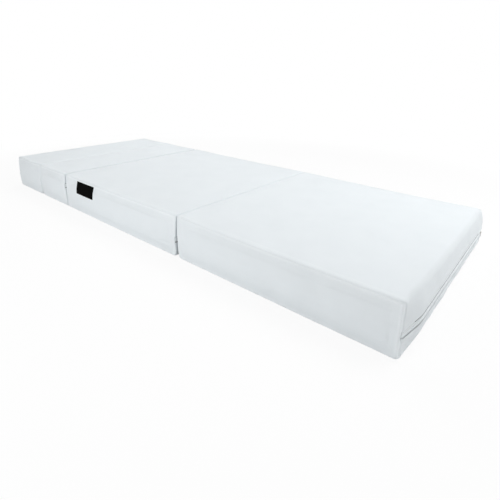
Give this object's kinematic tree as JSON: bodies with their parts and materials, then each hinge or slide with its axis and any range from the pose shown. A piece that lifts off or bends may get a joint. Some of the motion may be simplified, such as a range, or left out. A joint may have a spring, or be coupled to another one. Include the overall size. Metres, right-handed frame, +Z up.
{
  "type": "folding foam lounger",
  "caption": "Covered foam blocks in a row, joined by cloth hinges that fold like an accordion from a flat bed into a low armless chair.",
  "frame": {"origin": "centre of the footprint of the flat, unfolded lounger, on the plane that it lies on", "axes": "+X along the row towards the base block's zip end, +Y across to the side without the label, +Z up"},
  "size_m": [1.7628, 0.6925, 0.136],
  "materials": {
    "cover_fabric": "matte",
    "foam": "matte",
    "zip_tape": "matte",
    "zip_metal": "satin",
    "label": "matte"
  },
  "bodies": {
    "base": {"base_foam_core": "foam", "base_upper_cover": "cover_fabric", "base_lower_cover": "cover_fabric", "base_near_side": "cover_fabric", "base_far_side": "cover_fabric", "base_zip_upper_tape": "zip_tape", "base_zip_lower_tape": "zip_tape", "base_seat_hinge_seam": "cover_fabric"},
    "base_zip_slider": {"base_zip_slider": "zip_metal"},
    "base_zip_pull": {"base_zip_pull": "zip_metal"},
    "seat": {"seat_foam_core": "foam", "seat_upper_cover": "cover_fabric", "seat_lower_cover": "cover_fabric", "seat_near_side": "cover_fabric", "seat_far_side": "cover_fabric", "seat_zip_upper_tape": "zip_tape", "seat_zip_lower_tape": "zip_tape", "seat_bolster_hinge_seam": "cover_fabric", "seat_label": "label"},
    "seat_zip_slider": {"seat_zip_slider": "zip_metal"},
    "seat_zip_pull": {"seat_zip_pull": "zip_metal"},
    "bolster": {"bolster_foam_core": "foam", "bolster_upper_cover": "cover_fabric", "bolster_lower_cover": "cover_fabric", "bolster_near_side": "cover_fabric", "bolster_far_side": "cover_fabric", "bolster_zip_upper_tape": "zip_tape", "bolster_zip_lower_tape": "zip_tape", "bolster_headrest_hinge_seam": "cover_fabric"},
    "bolster_zip_slider": {"bolster_zip_slider": "zip_metal"},
    "bolster_zip_pull": {"bolster_zip_pull": "zip_metal"},
    "headrest": {"headrest_foam_core": "foam", "headrest_upper_cover": "cover_fabric", "headrest_lower_cover": "cover_fabric", "headrest_near_side": "cover_fabric", "headrest_far_side": "cover_fabric", "headrest_zip_upper_tape": "zip_tape", "headrest_zip_lower_tape": "zip_tape"},
    "headrest_zip_slider": {"headrest_zip_slider": "zip_metal"},
    "headrest_zip_pull": {"headrest_zip_pull": "zip_metal"}
  },
  "joints": [
    {"name": "seat_fold", "type": "hinge", "parent": "base", "child": "seat", "pos_m": [0.217, 0, 0.1362], "axis": [0, 1, 0], "range_deg": [0, 180]},
    {"name": "bolster_fold", "type": "hinge", "parent": "seat", "child": "bolster", "pos_m": [-0.433, 0, -0.0002], "axis": [0, -1, 0], "range_deg": [0, 180]},
    {"name": "headrest_fold", "type": "hinge", "parent": "bolster", "child": "headrest", "pos_m": [-0.65, 0, 0.1362], "axis": [0, 1, 0], "range_deg": [0, 180]},
    {"name": "base_zip_run", "type": "slide", "parent": "base", "child": "base_zip_slider", "axis": [0, -1, 0], "range_m": [0, 0.572]},
    {"name": "base_pull_swing", "type": "hinge", "parent": "base_zip_slider", "child": "base_zip_pull", "pos_m": [0.8775, 0.32698, 0.06], "axis": [1, 0, 0], "range_deg": [-170, 45]},
    {"name": "seat_zip_run", "type": "slide", "parent": "seat", "child": "seat_zip_slider", "axis": [0, -1, 0], "range_m": [0, 0.657]},
    {"name": "seat_pull_swing", "type": "hinge", "parent": "seat_zip_slider", "child": "seat_zip_pull", "pos_m": [0.2132, 0.32703, 0.05599], "axis": [1, 0, 0], "range_deg": [-170, 45]},
    {"name": "bolster_zip_run", "type": "slide", "parent": "bolster", "child": "bolster_zip_slider", "axis": [0, -1, 0], "range_m": [0, 0.657]},
    {"name": "bolster_pull_swing", "type": "hinge", "parent": "bolster_zip_slider", "child": "bolster_zip_pull", "pos_m": [-0.43736, 0.32706, 0.08393], "axis": [1, 0, 0], "range_deg": [-170, 45]},
    {"name": "headrest_zip_run", "type": "slide", "parent": "headrest", "child": "headrest_zip_slider", "axis": [0, -1, 0], "range_m": [0, 0.572]},
    {"name": "headrest_pull_swing", "type": "hinge", "parent": "headrest_zip_slider", "child": "headrest_zip_pull", "pos_m": [-0.8775, 0.32698, 0.06], "axis": [1, 0, 0], "range_deg": [-170, 45]}
  ]
}
